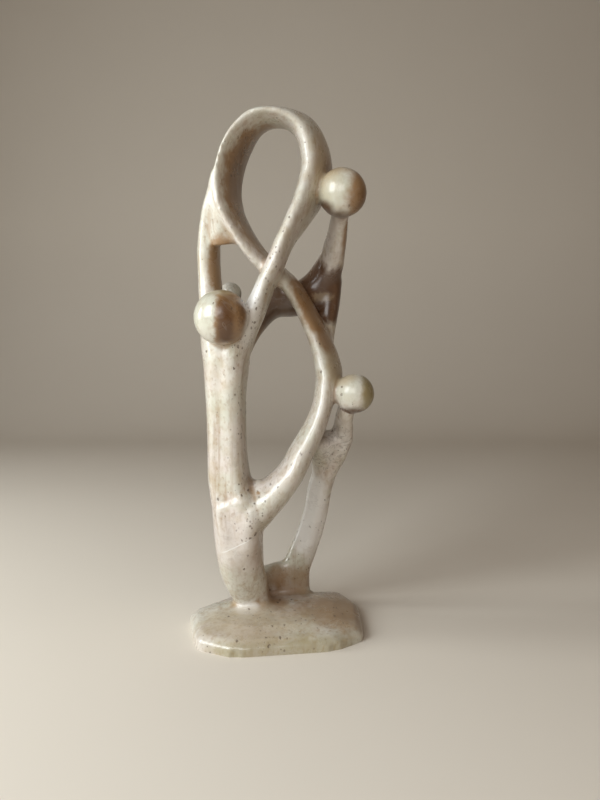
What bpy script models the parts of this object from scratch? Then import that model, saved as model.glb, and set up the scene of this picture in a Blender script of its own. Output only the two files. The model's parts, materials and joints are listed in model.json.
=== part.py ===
"""A soapstone family group: four round heads on looping limbs, carved with its plinth from one block.

X runs along the plinth's front edge, Y to the back and Z up, with the origin under the plinth.
Each limb is a loft through a few stations, whose numbers are percentages of the figure's height,
measured from the middle of the plinth's top. The lofts and the plinth are fused by a voxel
remesh, the forks between them are filled the way a rasp leaves them, and the heads are set on.
"""

import math

import bmesh
import bpy
import numpy as np
from mathutils import Vector

# Driving dimensions in metres
FIGURE_HEIGHT = 0.290
PLINTH_WIDTH = 0.104
PLINTH_DEPTH = 0.075
PLINTH_THICKNESS = 0.010
PLINTH_EDGE_HEIGHT = 0.0048
PLINTH_SHOULDER_HEIGHT = 0.0078
PLINTH_SHOULDER_INSET = 0.0038
PLINTH_CROWN_INSET = 0.017
PARENT_HEAD_DIAMETER = 0.0290
PARTNER_HEAD_DIAMETER = 0.0266
CHILD_HEAD_DIAMETER = 0.0226
INFANT_HEAD_DIAMETER = 0.0136

# How finely the solid is cut and smoothed
VOXEL = 0.0016
SECTION_SIDES = 20
SPAN_STEPS = 5
HEAD_SEGMENTS = 36
FORK_FILL_ROUNDS = 10
POLISH_ROUNDS = 3
CORNER_CUTS = 2
CORNER_CUT_SHARE = 0.08
RELAX_SHARE = 0.5
TRIANGLES = 7600
SHARP_EDGE_DEGREES = 50

PERCENT = FIGURE_HEIGHT / 100

# A station is x and z of the limb's front edge, the depths y of its front and back, half its
# thickness, and how far its depth axis swings to +X and to +Z for each unit that it runs back.
# The number before a limb's stations says how square its section is: 2 is an ellipse.
LIMBS = {
    "trunk": (2.5, [
        (-3.9, -2.5, 1.6, 8.6, 4.6, 0.0, 0.0),
        (-4.2, 1.0, 2.0, 8.0, 3.7, 0.0, 0.0),
        (-5.1, 4.0, 0.4, 8.2, 4.2, 0.0, 0.0),
        (-6.4, 8.0, -2.2, 8.4, 4.5, 0.0, 0.0),
        (-7.3, 13.2, -5.2, 8.8, 4.8, 0.05, 0.0),
        (-7.8, 18.0, -7.2, 9.0, 4.9, 0.06, 0.0),
        (-8.6, 23.0, -7.8, 8.6, 4.6, 0.08, 0.0),
        (-9.9, 28.0, -7.2, 8.2, 4.1, 0.12, 0.0),
        (-10.3, 34.0, -7.0, 8.0, 3.8, 0.13, 0.0),
        (-10.4, 40.0, -7.2, 8.0, 3.8, 0.13, 0.0),
        (-10.5, 46.0, -7.6, 8.2, 4.0, 0.13, 0.0),
        (-10.4, 51.0, -8.0, 8.6, 4.5, 0.13, 0.0),
        (-10.6, 55.5, -7.6, 8.4, 4.7, 0.13, 0.0),
        (-11.2, 58.5, -5.6, 7.0, 3.8, 0.13, 0.0),
    ]),
    "left_arm": (2.2, [
        (-11.6, 50.0, -4.0, 5.5, 3.0, 0.18, 0.0),
        (-12.6, 56.5, -3.4, 5.8, 2.6, 0.2, 0.0),
        (-13.1, 62.0, -2.6, 5.5, 2.3, 0.25, 0.0),
        (-13.3, 66.0, -2.4, 5.2, 2.2, 0.25, 0.0),
        (-13.5, 70.0, -2.6, 5.0, 2.1, 0.25, 0.0),
        (-13.5, 74.5, -3.4, 4.8, 2.0, 0.25, 0.0),
        (-13.1, 79.0, -5.2, 4.4, 1.6, 0.25, 0.0),
        (-12.4, 83.0, -7.6, 3.4, 1.1, 0.3, 0.0),
        (-12.0, 86.5, -9.2, 2.4, 0.6, 0.35, 0.0),
    ]),
    "left_web": (2.2, [
        (-12.0, 82.0, -8.2, -1.0, 0.7, 0.3, 0.0),
        (-11.6, 79.0, -7.4, -0.5, 1.4, 0.3, 0.0),
        (-10.9, 76.2, -6.4, 0.0, 2.1, 0.3, 0.0),
        (-10.3, 73.2, -5.2, 0.0, 2.7, 0.3, 0.0),
    ]),
    "figure_eight": (2.0, [
        (-10.6, 38.0, -6.6, 5.0, 3.4, 0.13, 0.0),
        (-10.4, 44.0, -7.6, 5.0, 3.7, 0.13, 0.0),
        (-9.6, 49.5, -8.4, 4.0, 3.5, 0.13, 0.0),
        (-8.6, 53.0, -9.0, 3.0, 3.1, 0.13, 0.0),
        (-7.2, 56.3, -9.4, 2.4, 2.7, 0.14, 0.0),
        (-5.6, 59.3, -9.8, 2.0, 2.3, 0.15, 0.0),
        (-4.2, 62.4, -10.7, 1.0, 2.0, 0.15, 0.0),
        (-2.8, 65.8, -11.5, -0.4, 1.8, 0.15, 0.0),
        (-1.4, 69.0, -12.3, -1.6, 1.8, 0.18, 0.0),
        (0.0, 72.8, -12.1, -1.6, 1.7, 0.22, 0.0),
        (1.5, 76.4, -11.7, -0.4, 1.8, 0.28, 0.0),
        (2.9, 80.0, -11.0, 1.4, 2.1, 0.36, 0.0),
        (4.2, 83.8, -10.3, 3.2, 2.4, 0.42, 0.02),
        (4.9, 87.4, -10.0, 4.2, 2.5, 0.45, 0.06),
        (4.6, 91.0, -9.8, 4.4, 2.4, 0.42, 0.12),
        (3.3, 93.8, -9.7, 4.6, 2.3, 0.36, 0.18),
        (0.8, 95.3, -9.7, 4.6, 1.9, 0.33, 0.2),
        (-2.5, 95.6, -9.7, 4.6, 1.6, 0.32, 0.18),
        (-5.8, 94.7, -9.7, 4.6, 1.4, 0.34, 0.13),
        (-8.6, 92.5, -9.7, 4.6, 1.2, 0.38, 0.06),
        (-10.6, 89.5, -9.7, 4.6, 1.1, 0.4, 0.0),
        (-11.7, 86.0, -9.7, 4.6, 1.1, 0.42, 0.0),
        (-11.9, 82.8, -9.7, 4.8, 1.1, 0.42, 0.0),
        (-11.1, 79.5, -9.3, 5.2, 1.2, 0.42, 0.0),
        (-9.2, 76.1, -8.6, 5.8, 1.3, 0.4, 0.0),
        (-6.8, 72.9, -7.6, 6.4, 1.5, 0.38, 0.0),
        (-4.1, 70.2, -6.2, 6.4, 1.7, 0.36, 0.0),
        (-1.1, 68.0, -5.0, 5.8, 1.8, 0.38, 0.0),
        (1.7, 65.4, -4.6, 5.0, 1.8, 0.42, 0.0),
        (3.7, 62.1, -4.5, 4.6, 1.7, 0.46, 0.0),
        (5.2, 59.0, -4.7, 4.6, 1.8, 0.48, 0.0),
        (6.7, 55.4, -5.1, 4.6, 1.9, 0.5, 0.0),
        (7.8, 51.8, -5.8, 4.6, 2.2, 0.5, 0.0),
        (8.5, 48.2, -6.6, 4.2, 2.5, 0.44, 0.0),
        (8.6, 45.2, -7.3, 3.0, 2.3, 0.3, 0.0),
        (8.3, 42.6, -7.8, 2.2, 2.1, 0.22, 0.0),
        (7.4, 39.6, -8.3, 1.8, 2.1, 0.18, 0.0),
        (6.0, 36.4, -8.8, 1.6, 2.3, 0.15, 0.0),
        (4.2, 33.2, -9.1, 1.6, 2.5, 0.14, 0.0),
        (2.5, 29.6, -9.2, 2.0, 2.7, 0.12, 0.0),
        (-0.2, 26.1, -9.0, 2.6, 3.2, 0.1, 0.0),
        (-3.4, 22.8, -8.6, 3.6, 3.7, 0.1, 0.0),
        (-6.4, 19.6, -7.6, 5.0, 4.1, 0.1, 0.0),
        (-8.0, 16.0, -5.4, 6.0, 3.8, 0.1, 0.0),
    ]),
    "fork_web": (2.2, [
        (-4.4, 22.8, -7.4, 2.2, 2.6, 0.1, 0.0),
        (-3.9, 25.2, -6.4, 1.8, 2.0, 0.1, 0.0),
        (-3.6, 27.4, -4.8, 1.4, 1.1, 0.1, 0.0),
    ]),
    "back_strand": (2.2, [
        (-8.4, 45.0, 1.0, 8.0, 2.0, 0.0, 0.0),
        (-6.9, 51.5, 2.0, 9.4, 2.2, 0.0, 0.0),
        (-3.6, 58.2, 3.0, 10.8, 2.5, 0.0, 0.0),
        (0.5, 62.9, 3.4, 11.8, 3.3, 0.0, 0.0),
        (5.0, 63.5, 3.4, 12.2, 3.5, 0.0, 0.0),
        (9.2, 65.3, 3.6, 12.2, 3.7, 0.0, 0.0),
        (12.0, 69.7, 2.4, 10.2, 3.0, 0.0, 0.0),
        (12.8, 74.3, -0.8, 6.2, 2.1, 0.0, 0.0),
        (12.8, 78.2, -4.2, 1.6, 1.6, 0.0, 0.0),
        (12.2, 81.1, -8.0, -3.2, 1.5, 0.0, 0.0),
    ]),
    "back_web": (2.2, [
        (12.6, 68.0, 4.2, 10.4, 2.6, 0.0, 0.0),
        (12.0, 63.0, 3.4, 10.6, 2.6, 0.0, 0.0),
        (11.4, 58.0, 2.6, 9.0, 2.2, 0.0, 0.0),
        (10.9, 53.0, 1.4, 6.4, 1.6, 0.0, 0.0),
    ]),
    "infant_neck": (2.2, [
        (-7.6, 52.0, 4.0, 9.2, 2.6, 0.0, 0.0),
        (-8.0, 57.5, 5.0, 10.0, 2.2, 0.0, 0.0),
        (-8.2, 63.4, 7.2, 10.6, 1.3, 0.0, 0.0),
    ]),
    "child": (2.4, [
        (5.0, -2.5, 8.6, 12.6, 4.4, 0.0, 0.0),
        (5.1, 1.0, 8.8, 12.4, 3.9, 0.0, 0.0),
        (5.9, 5.2, 8.6, 12.4, 3.2, 0.0, 0.0),
        (7.6, 9.7, 8.2, 12.2, 2.9, 0.0, 0.0),
        (9.2, 14.2, 7.8, 12.0, 2.7, 0.0, 0.0),
        (10.2, 18.6, 7.2, 11.6, 2.6, 0.0, 0.0),
        (10.8, 23.0, 6.4, 11.2, 2.6, 0.0, 0.0),
        (11.9, 27.4, 4.8, 10.4, 2.5, 0.0, 0.0),
        (13.7, 31.7, 3.0, 8.8, 2.6, 0.0, 0.0),
        (14.6, 35.8, 0.2, 6.0, 2.1, 0.0, 0.0),
        (14.2, 39.2, -3.2, 2.4, 1.6, 0.0, 0.0),
        (14.0, 42.7, -6.6, -2.4, 1.5, 0.0, 0.0),
    ]),
    "child_shoulder": (2.6, [
        (10.6, 26.4, 5.0, 9.6, 1.6, 0.0, 0.0),
        (10.7, 30.0, 3.4, 8.6, 2.3, 0.0, 0.0),
        (10.4, 32.8, 1.2, 6.6, 2.6, 0.0, 0.0),
        (10.4, 35.4, -0.6, 4.6, 2.1, 0.0, 0.0),
    ]),
    "child_heel": (3.2, [
        (6.4, 5.4, 8.6, 12.2, 2.6, 0.0, 0.0),
        (3.0, 3.9, 8.6, 12.0, 2.9, 0.0, 0.0),
        (-0.4, 3.2, 8.0, 11.4, 3.0, 0.0, 0.0),
        (-2.6, 2.6, 7.4, 10.4, 2.4, 0.0, 0.0),
    ]),
}

# A head is the point of its neck that it grows from, in percent of the figure's height, the way
# from there to its middle, how many radii that is, its diameter in metres, the direction of its
# flattened cheek and how much of the radius that flat leaves.
HEADS = [
    ((-10.2, -6.2, 57.0), (-0.4, -3.7, 2.1), 0.85, PARENT_HEAD_DIAMETER, (0.3, 0.6, -0.7), 0.96),
    ((12.5, -5.8, 79.5), (-0.1, -0.35, 1.0), 0.70, PARTNER_HEAD_DIAMETER, (-0.6, 0.6, -0.5), 0.88),
    ((14.5, -4.0, 41.8), (0.25, -0.35, 1.0), 0.80, CHILD_HEAD_DIAMETER, (-0.6, 0.6, -0.5), 0.88),
    ((-8.2, 8.8, 62.9), (0.05, 0.1, 1.0), 0.80, INFANT_HEAD_DIAMETER, (0.3, -0.7, -0.6), 0.94),
]

# The plinth's hand-cut octagon, as shares of half its width and half its depth
PLINTH_CORNERS = [
    (-0.52, -1.00), (0.56, -1.00), (0.92, -0.72), (1.03, 0.30),
    (0.90, 0.92), (-0.44, 1.00), (-0.97, 0.36), (-0.88, -0.66),
]


def evaluated(thing):
    """The mesh that an object's modifiers make of it."""
    return bpy.data.meshes.new_from_object(thing.evaluated_get(bpy.context.evaluated_depsgraph_get()))


def bridge(mesh, rings):
    """Closes a stack of equal rings into a skin, with a face over each end."""
    for lower, upper in zip(rings, rings[1:]):
        for corner in range(len(lower)):
            following = (corner + 1) % len(lower)
            mesh.faces.new((lower[corner], lower[following], upper[following], upper[corner]))
    mesh.faces.new(reversed(rings[0]))
    mesh.faces.new(rings[-1])


def section_point(angle, across, deep, squareness):
    """A point of a limb's cross-section, a superellipse round its middle."""
    power = 2 / squareness
    cosine, sine = math.cos(angle), math.sin(angle)
    u = across * math.copysign(abs(cosine) ** power, cosine)
    v = deep * math.copysign(abs(sine) ** power, sine)
    return u, v


def spread(stations):
    """Stations joined by a smooth Catmull-Rom curve, with SPAN_STEPS rows to each span."""
    rows = np.array(stations, float)
    padded = np.vstack([2 * rows[0] - rows[1], rows, 2 * rows[-1] - rows[-2]])
    dense = []
    for a, b, c, d in zip(padded, padded[1:], padded[2:], padded[3:]):
        for step in range(SPAN_STEPS):
            t = step / SPAN_STEPS
            dense.append(0.5 * (2 * b + (c - a) * t + (2 * a - 5 * b + 4 * c - d) * t**2
                                + (3 * b - 3 * c + d - a) * t**3))
    dense.append(rows[-1])
    return np.array(dense)


def add_limb(mesh, squareness, stations):
    """Lofts one limb into the bmesh as a closed skin over its superelliptical sections."""
    rows = spread(stations)
    middle = (rows[:, 3] - rows[:, 2]) / 2
    centres = np.stack([rows[:, 0] + rows[:, 5] * middle, rows[:, 2] + middle,
                        rows[:, 1] + rows[:, 6] * middle], axis=1)
    tangents = np.gradient(centres, axis=0)
    rings = []
    for row, half_deep, centre, tangent in zip(rows, middle, centres, tangents):
        along = Vector(tangent).normalized()
        back = Vector((row[5], 1.0, row[6]))
        back = (back - along * back.dot(along)).normalized()
        side = along.cross(back)
        ring = []
        for corner in range(SECTION_SIDES):
            u, v = section_point(2 * math.pi * corner / SECTION_SIDES, row[4], half_deep, squareness)
            point = Vector(centre) + side * u + back * v
            point = point * PERCENT + Vector((0, 0, PLINTH_THICKNESS))
            ring.append(mesh.verts.new(point))
        rings.append(ring)
    bridge(mesh, rings)


def add_head(mesh, seat, way, reach, diameter, cheek, left):
    """Adds a round head on its neck, with its cheek dressed flat down to a share of its radius."""
    before = set(mesh.verts)
    radius = diameter / 2
    middle = Vector(seat) * PERCENT + Vector(way).normalized() * reach * radius
    middle.z += PLINTH_THICKNESS
    bmesh.ops.create_uvsphere(mesh, u_segments=HEAD_SEGMENTS, v_segments=HEAD_SEGMENTS // 2,
                              radius=radius)
    towards = Vector(cheek).normalized()
    limit = left * radius
    for vertex in set(mesh.verts) - before:
        beyond = vertex.co.dot(towards) - limit
        if beyond > 0:
            vertex.co -= towards * beyond
        vertex.co += middle


def worn_outline():
    """The plinth's octagon with its corners cut back again and again, as hands have worn them."""
    outline = PLINTH_CORNERS
    for _ in range(CORNER_CUTS):
        cut = []
        for before, corner, after in zip(outline[-1:] + outline, outline, outline[1:] + outline[:1]):
            for other in (before, after):
                cut.append(tuple(c + (o - c) * CORNER_CUT_SHARE for c, o in zip(corner, other)))
        outline = cut
    return outline


def add_plinth(mesh):
    """Adds the octagonal plinth with its shallow crown, and a skirt below that is cut off later."""
    rings = []
    for z, inset in ((-2 * VOXEL, 0), (PLINTH_EDGE_HEIGHT, 0),
                     (PLINTH_SHOULDER_HEIGHT, PLINTH_SHOULDER_INSET),
                     (PLINTH_THICKNESS, PLINTH_CROWN_INSET)):
        rings.append([mesh.verts.new((x * (PLINTH_WIDTH / 2 - inset), y * (PLINTH_DEPTH / 2 - inset), z))
                      for x, y in worn_outline()])
    bridge(mesh, rings)


def remeshed(shape, collection):
    """The union of the closed shells in a bmesh, as a new mesh of even voxel faces."""
    bmesh.ops.recalc_face_normals(shape, faces=shape.faces)
    rough = bpy.data.meshes.new("rough")
    shape.to_mesh(rough)
    shape.free()
    holder = bpy.data.objects.new("rough", rough)
    collection.objects.link(holder)
    fuse = holder.modifiers.new("fuse", "REMESH")
    fuse.mode = "VOXEL"
    fuse.voxel_size = VOXEL
    fused = evaluated(holder)
    bpy.data.objects.remove(holder)
    bpy.data.meshes.remove(rough)
    return fused


def relax(mesh, rounds, only_fill):
    """Averages each vertex with its neighbours; only_fill moves it outwards alone, as in a fork."""
    count = len(mesh.vertices)
    points = np.empty(count * 3)
    mesh.vertices.foreach_get("co", points)
    points = points.reshape(-1, 3)
    edges = np.empty(len(mesh.edges) * 2, int)
    mesh.edges.foreach_get("vertices", edges)
    first, second = edges.reshape(-1, 2).T
    valence = np.bincount(edges, minlength=count)[:, None]
    for _ in range(rounds):
        total = np.zeros_like(points)
        np.add.at(total, first, points[second])
        np.add.at(total, second, points[first])
        move = (total / valence - points) * RELAX_SHARE
        if only_fill:
            normals = np.empty(count * 3)
            mesh.vertices.foreach_get("normal", normals)
            normals = normals.reshape(-1, 3)
            outward = np.einsum("ij,ij->i", move, normals)
            move = normals * np.maximum(outward, 0)[:, None]
        points += move
        mesh.vertices.foreach_set("co", points.ravel())
        mesh.update()


def stone():
    """Pale cream soapstone, rubbed to a soft wax sheen."""
    material = bpy.data.materials.new("soapstone")
    material.use_nodes = True
    shader = material.node_tree.nodes["Principled BSDF"]
    shader.inputs["Base Color"].default_value = (0.60, 0.50, 0.38, 1)
    shader.inputs["Roughness"].default_value = 0.38
    shader.inputs["Metallic"].default_value = 0.0
    return material


def build():
    """Carves the figurine and leaves it in its own collection."""
    for thing in list(bpy.data.objects):
        bpy.data.objects.remove(thing)
    group = bpy.data.collections.new("soapstone_figurine")
    bpy.context.scene.collection.children.link(group)

    limbs = bmesh.new()
    for squareness, stations in LIMBS.values():
        add_limb(limbs, squareness, stations)
    add_plinth(limbs)
    body = remeshed(limbs, group)
    relax(body, FORK_FILL_ROUNDS, only_fill=True)

    whole = bmesh.new()
    whole.from_mesh(body)
    for head in HEADS:
        add_head(whole, *head)
    carved = remeshed(whole, group)
    relax(carved, POLISH_ROUNDS, only_fill=False)

    carved.name = "figurine"
    figurine = bpy.data.objects.new("figurine", carved)
    group.objects.link(figurine)
    figurine.data.materials.clear()
    figurine.data.materials.append(stone())
    thin = figurine.modifiers.new("thin", "DECIMATE")
    thin.ratio = TRIANGLES / (2 * len(carved.polygons))
    flat = bmesh.new()
    flat.from_mesh(evaluated(figurine))
    figurine.modifiers.clear()
    cut = bmesh.ops.bisect_plane(flat, geom=flat.verts[:] + flat.edges[:] + flat.faces[:],
                                 plane_co=(0, 0, 0), plane_no=(0, 0, 1), clear_inner=True)
    rim = [item for item in cut["geom_cut"] if isinstance(item, bmesh.types.BMEdge)]
    bmesh.ops.edgenet_fill(flat, edges=rim)
    bmesh.ops.recalc_face_normals(flat, faces=flat.faces)
    flat.to_mesh(carved)
    flat.free()
    carved.shade_smooth()
    carved.set_sharp_from_angle(angle=math.radians(SHARP_EDGE_DEGREES))


build()
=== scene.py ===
"""The looks of a soapstone family group: round heads on looping limbs, carved with its plinth.

Lengths are metres in the part's frame, with X to the right along the plinth's front edge, Y to the
back and Z up, and the origin under the plinth. The stations of the limbs are in percent of the
figure's height, measured from the middle of the plinth's top, as they are in the solid. The reaches of
patches, specks and swarms are in millimetres.
"""

from __future__ import annotations

import json
import logging
import math
from dataclasses import asdict, dataclass, field
from enum import Enum

import bmesh
import bpy
import numpy as np
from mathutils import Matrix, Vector, noise

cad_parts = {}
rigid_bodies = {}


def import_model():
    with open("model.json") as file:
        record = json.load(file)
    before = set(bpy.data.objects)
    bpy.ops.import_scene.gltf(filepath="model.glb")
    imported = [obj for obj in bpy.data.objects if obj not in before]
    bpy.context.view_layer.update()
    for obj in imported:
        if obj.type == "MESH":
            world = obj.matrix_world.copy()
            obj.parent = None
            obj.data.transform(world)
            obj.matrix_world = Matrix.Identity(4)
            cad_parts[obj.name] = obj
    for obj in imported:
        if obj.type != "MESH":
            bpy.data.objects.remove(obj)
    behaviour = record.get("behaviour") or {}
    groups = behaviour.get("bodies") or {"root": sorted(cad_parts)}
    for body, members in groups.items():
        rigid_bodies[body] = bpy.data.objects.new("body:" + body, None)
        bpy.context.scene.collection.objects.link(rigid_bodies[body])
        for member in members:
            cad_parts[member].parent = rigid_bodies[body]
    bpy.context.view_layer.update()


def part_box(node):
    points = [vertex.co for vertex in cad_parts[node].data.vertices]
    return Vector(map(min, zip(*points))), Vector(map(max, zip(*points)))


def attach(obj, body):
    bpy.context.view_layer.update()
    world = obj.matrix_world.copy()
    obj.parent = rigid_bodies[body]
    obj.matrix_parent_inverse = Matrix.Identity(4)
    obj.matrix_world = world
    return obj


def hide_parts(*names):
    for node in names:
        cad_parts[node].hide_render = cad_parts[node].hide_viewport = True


LOG = logging.getLogger("soapstone_figurine")

FIGURE_HEIGHT = 0.290
PLINTH_THICKNESS = 0.010
PERCENT = FIGURE_HEIGHT / 100
MM = 0.001
STATION_VALUES = 7

Triple = tuple[float, float, float]
Colour = tuple[float, float, float, float]
Station = tuple[float, ...]


def on_figure(x: float, y: float, z: float) -> Triple:
    """A point given in percent of the figure's height, in metres."""
    return x * PERCENT, y * PERCENT, z * PERCENT + PLINTH_THICKNESS


@dataclass(frozen=True)
class Field:
    """One value that varies over the stone, which adds and multiplies as a number does."""

    bench: Bench
    socket: bpy.types.NodeSocket

    def __add__(self, other: Operand) -> Field:
        """This value plus another."""
        return self.bench.math("ADD", self, other)

    __radd__ = __add__

    def __mul__(self, other: Operand) -> Field:
        """This value times another."""
        return self.bench.math("MULTIPLY", self, other)

    __rmul__ = __mul__

    def __sub__(self, other: Operand) -> Field:
        """This value less another."""
        return self.bench.math("SUBTRACT", self, other)

    def distance_to(self, level: float) -> Field:
        """How far this value is from a level, without its sign."""
        return self.bench.math("ABSOLUTE", self - level)

    def eased(self, low: Operand, high: Operand) -> Field:
        """Rises smoothly from 0 at low to 1 at high, or falls where low is the larger."""
        return self.bench.field("ShaderNodeMapRange", {"interpolation_type": "SMOOTHSTEP"},
                                {"Value": self, "From Min": low, "From Max": high}, "Result")


Operand = Field | float


class Bench:
    """A node tree in the making, for a material or for a modifier."""

    def __init__(self, tree: bpy.types.NodeTree) -> None:
        """Takes the tree over and empties it."""
        self.tree = tree
        tree.nodes.clear()

    def node(self, kind: str, settings: dict | None = None,
             values: dict | None = None) -> bpy.types.Node:
        """Adds one node.

        Args:
            kind: The node's type.
            settings: Its own settings, set before its sockets.
            values: A number or a field for each socket that is named or identified.

        Returns:
            The new node.
        """
        made = self.tree.nodes.new(kind)
        for key, value in (settings or {}).items():
            setattr(made, key, value)
        for key, value in (values or {}).items():
            socket = self.found(made.inputs, key)
            if isinstance(value, Field):
                self.tree.links.new(value.socket, socket)
            else:
                socket.default_value = value
        return made

    @staticmethod
    def found(sockets: bpy.types.bpy_prop_collection, key: str | int) -> bpy.types.NodeSocket:
        """The socket with that identifier, or else with that name or place."""
        for socket in sockets:
            if socket.identifier == key:
                return socket
        return sockets[key]

    def output(self, node: bpy.types.Node, key: str | int = 0) -> Field:
        """One output of a node as a field."""
        return Field(self, self.found(node.outputs, key))

    def field(self, kind: str, settings: dict | None = None, values: dict | None = None,
              key: str | int = 0) -> Field:
        """Adds one node and gives the output that the key names."""
        return self.output(self.node(kind, settings, values), key)

    def math(self, operation: str, *operands: Operand) -> Field:
        """The result of one Math node on fields or numbers."""
        return self.field("ShaderNodeMath", {"operation": operation}, dict(enumerate(operands)))

    def vector_math(self, operation: str, *operands: Operand | Triple) -> Field:
        """The vector that one Vector Math node makes, or the number where it makes one."""
        key = "Value" if operation in ("LENGTH", "DISTANCE", "DOT_PRODUCT") else "Vector"
        return self.field("ShaderNodeVectorMath", {"operation": operation},
                          dict(enumerate(operands)), key)

    def noise(self, at: Field, size: float, detail: float = 2.0, seed: float = 0.0,
              twist: float = 0.0) -> Field:
        """A noise of a given grain.

        Args:
            at: The place in metres.
            size: How far apart its blotches are, in metres.
            detail: How many finer octaves it has.
            seed: Which noise it is.
            twist: How far it is distorted.

        Returns:
            Values round 0.5.
        """
        return self.field("ShaderNodeTexNoise", {"noise_dimensions": "4D"},
                          {"Vector": at, "W": seed, "Scale": 1 / size, "Detail": detail,
                           "Roughness": 0.55, "Distortion": twist})

    def stretched(self, at: Field, shares: Triple) -> Field:
        """A place whose axes are drawn out or pressed together."""
        return self.vector_math("MULTIPLY", at, shares)

    def near(self, at: Field, centre: Triple, radius: float, soft: float = 0.6) -> Field:
        """1 within a ball and 0 outside it, which fades over a soft share of the radius."""
        return self.vector_math("DISTANCE", at, centre).eased(radius, radius * (1 - soft))

    def tint(self, amount: Operand, first: Field | Colour, second: Field | Colour) -> Field:
        """Goes from a first colour at an amount of 0 to a second one at 1."""
        return self.field("ShaderNodeMix", {"data_type": "RGBA", "blend_type": "MIX"},
                          {"Factor_Float": amount, "A_Color": first, "B_Color": second},
                          "Result_Color")

    def painted(self, colour: Field, *layers: tuple[Operand, Tone]) -> Field:
        """A colour with tones laid over it in turn, each by its own amount."""
        for amount, tone in layers:
            colour = self.tint(amount, colour, tone.value)
        return colour

    def attribute(self, name: str) -> Field:
        """A number that the mesh keeps on each of its points."""
        return self.field("ShaderNodeAttribute", {"attribute_name": name}, key="Fac")

    def surface(self, values: dict) -> None:
        """Ends a material's tree in one shader with these values."""
        shader = self.field("ShaderNodeBsdfPrincipled", {}, values, "BSDF")
        self.node("ShaderNodeOutputMaterial", {}, {"Surface": shader})


def blank_material(name: str) -> tuple[bpy.types.Material, Bench, Field]:
    """A new material, the bench for its tree, and the place on the object that it reads."""
    made = bpy.data.materials.new(name)
    made.use_nodes = True
    bench = Bench(made.node_tree)
    return made, bench, bench.field("ShaderNodeTexCoord", key="Object")


class Tone(Enum):
    """The colours that the stone takes, which the blots also lay on as painted shade and light."""

    CREAM = (0.590, 0.565, 0.490, 1)
    ROSE = (0.600, 0.540, 0.490, 1)
    SAGE = (0.480, 0.480, 0.375, 1)
    PALE = (0.720, 0.700, 0.665, 1)
    HONEY = (0.420, 0.330, 0.205, 1)
    OLIVE = (0.260, 0.210, 0.095, 1)
    TAN = (0.265, 0.148, 0.060, 1)
    UMBER = (0.088, 0.038, 0.015, 1)
    GREY = (0.300, 0.265, 0.230, 1)
    FLECK = (0.085, 0.052, 0.030, 1)


@dataclass(frozen=True)
class Blot:
    """A patch of patina, painted shade or painted light, or a single dark spot, an ellipsoid
    with a ragged edge.

    Its reach along each axis and its grain are in millimetres. Where a head is given, the patch
    keeps to that head, and where it is inside, to the inner face of the upper loop.
    """

    tone: Tone
    centre: Triple
    reach: Triple
    strength: float
    soft: float = 0.5
    ragged: float = 0.5
    grain: float = 6.0
    head: Head | None = None
    inside: bool = False

    def mask(self, bench: Bench, at: Field) -> Field:
        """How much of the patch lies at a place, from 0 to its strength."""
        away = bench.vector_math("SUBTRACT", at, on_figure(*self.centre))
        away = bench.stretched(away, tuple(1 / (reach * MM) for reach in self.reach))
        edge = bench.noise(at, self.grain * MM, 3.0, self.centre[2])
        share = bench.vector_math("LENGTH", away) + (edge - 0.5) * self.ragged
        patch = share.eased(1.0, 1.0 - self.soft) * self.strength
        if self.inside:
            patch = patch * bench.attribute("inner_face")
        if self.head is None:
            return patch
        return patch * bench.near(at, self.head.middle()[:], self.head.diameter / 2 + 0.8 * MM, 0.05)


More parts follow.
